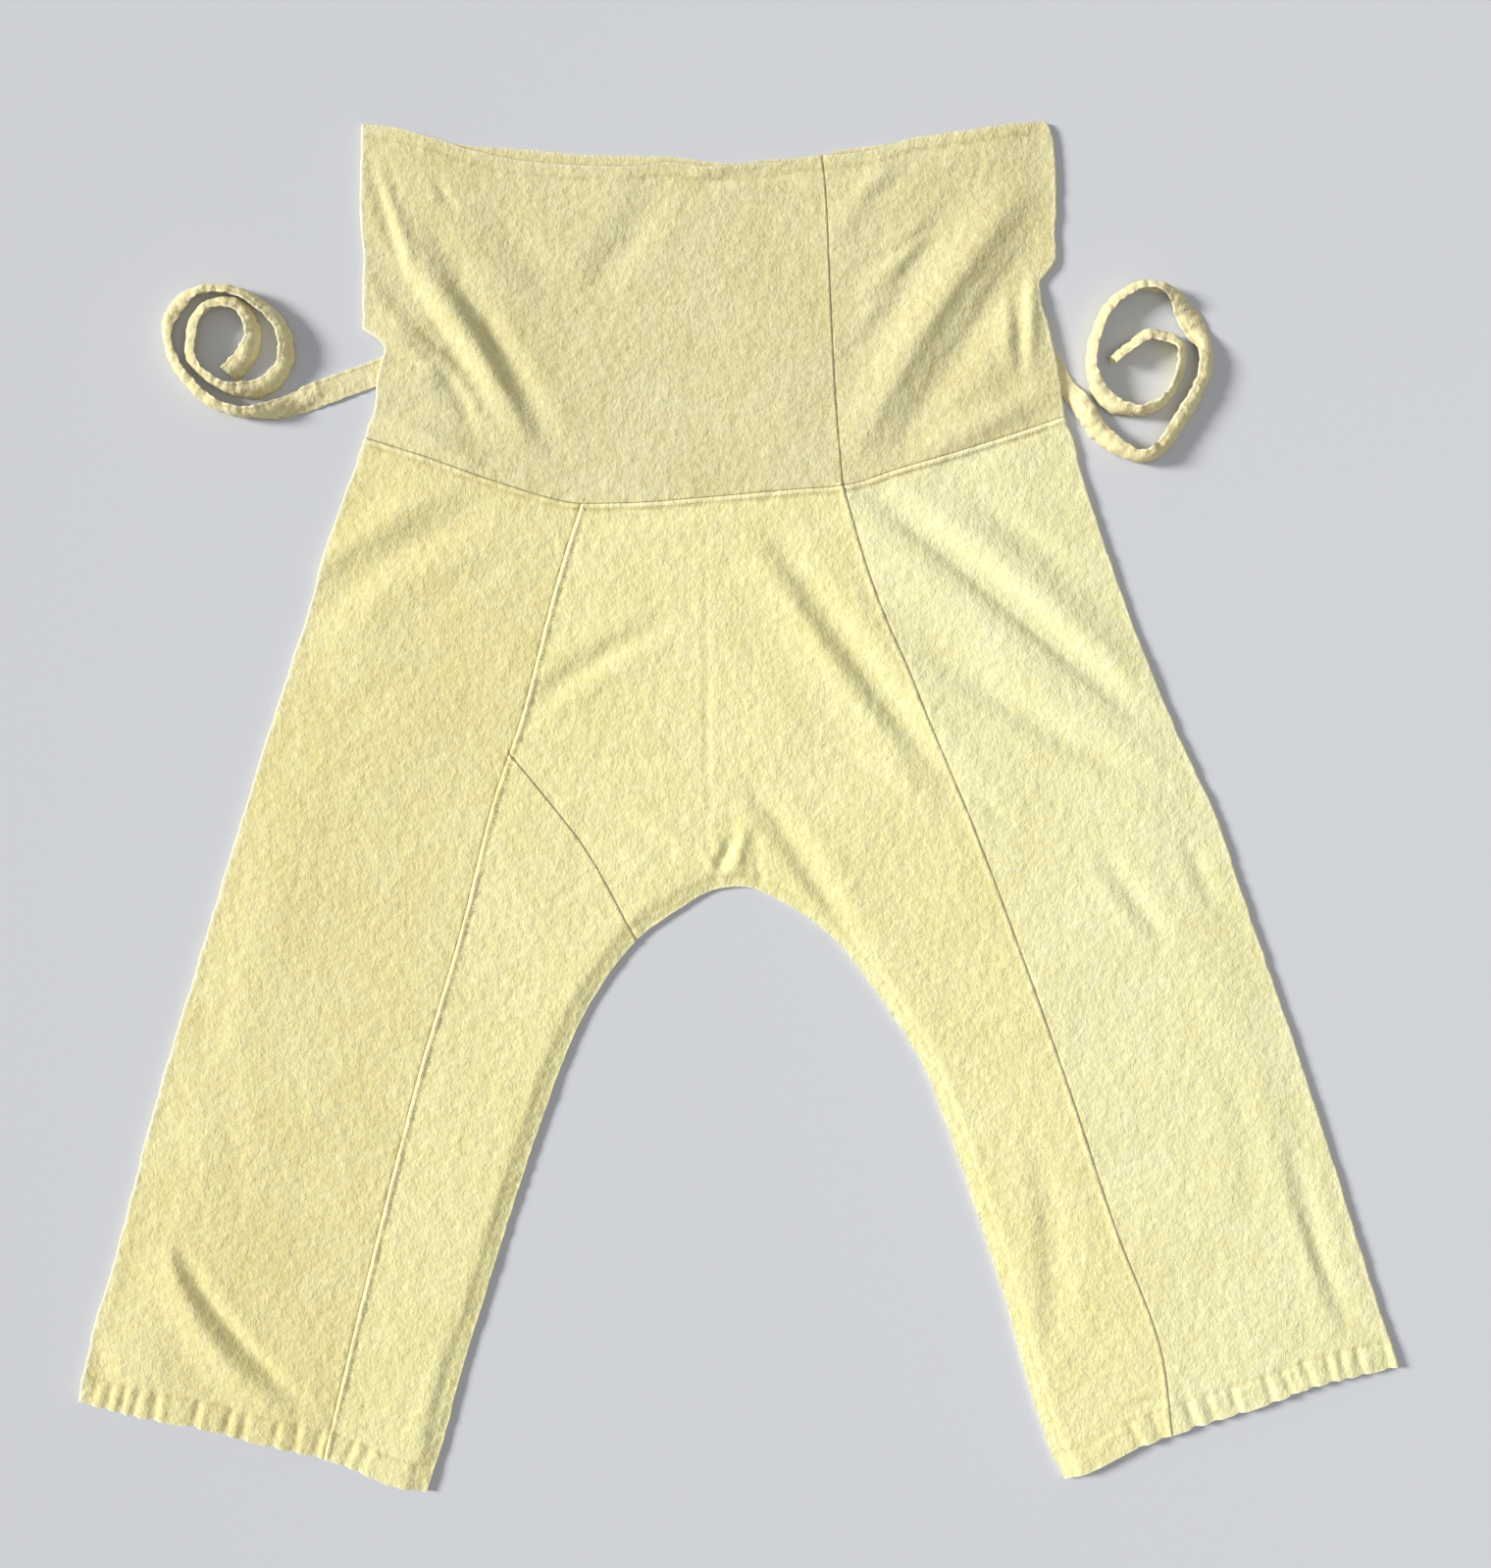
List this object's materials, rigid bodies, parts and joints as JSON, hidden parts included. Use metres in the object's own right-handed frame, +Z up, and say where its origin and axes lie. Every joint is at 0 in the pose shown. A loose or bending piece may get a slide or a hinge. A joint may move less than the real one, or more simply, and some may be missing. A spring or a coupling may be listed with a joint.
{
  "type": "drop crotch pants laid flat",
  "caption": "Wide drop crotch pants laid flat, with a tall waistband, long side ties, a low arched crotch and wide hemmed legs.",
  "frame": {"origin": "on the surface that the garment lies on, under the middle of its outline", "axes": "+Y from the hems up to the waist, +Z up off the surface out of the front, +X to the viewer's right when the front is seen from above"},
  "size_m": [1.037, 1.0758, 0.0159],
  "materials": {
    "crinkled_cotton": "pale yellow crinkled cotton, soft and matt",
    "tie_cotton": "pale cream-yellow crinkled cotton, folded and stitched, matt"
  },
  "bodies": {
    "root": {"waistband": "crinkled_cotton", "left_outer_leg": "crinkled_cotton", "right_outer_leg": "crinkled_cotton", "front_centre_panel": "crinkled_cotton", "front_left_inner_leg": "crinkled_cotton", "back_centre_panel": "crinkled_cotton", "back_right_inner_leg": "crinkled_cotton", "left_tie": "tie_cotton", "right_tie": "tie_cotton"}
  },
  "joints": []
}
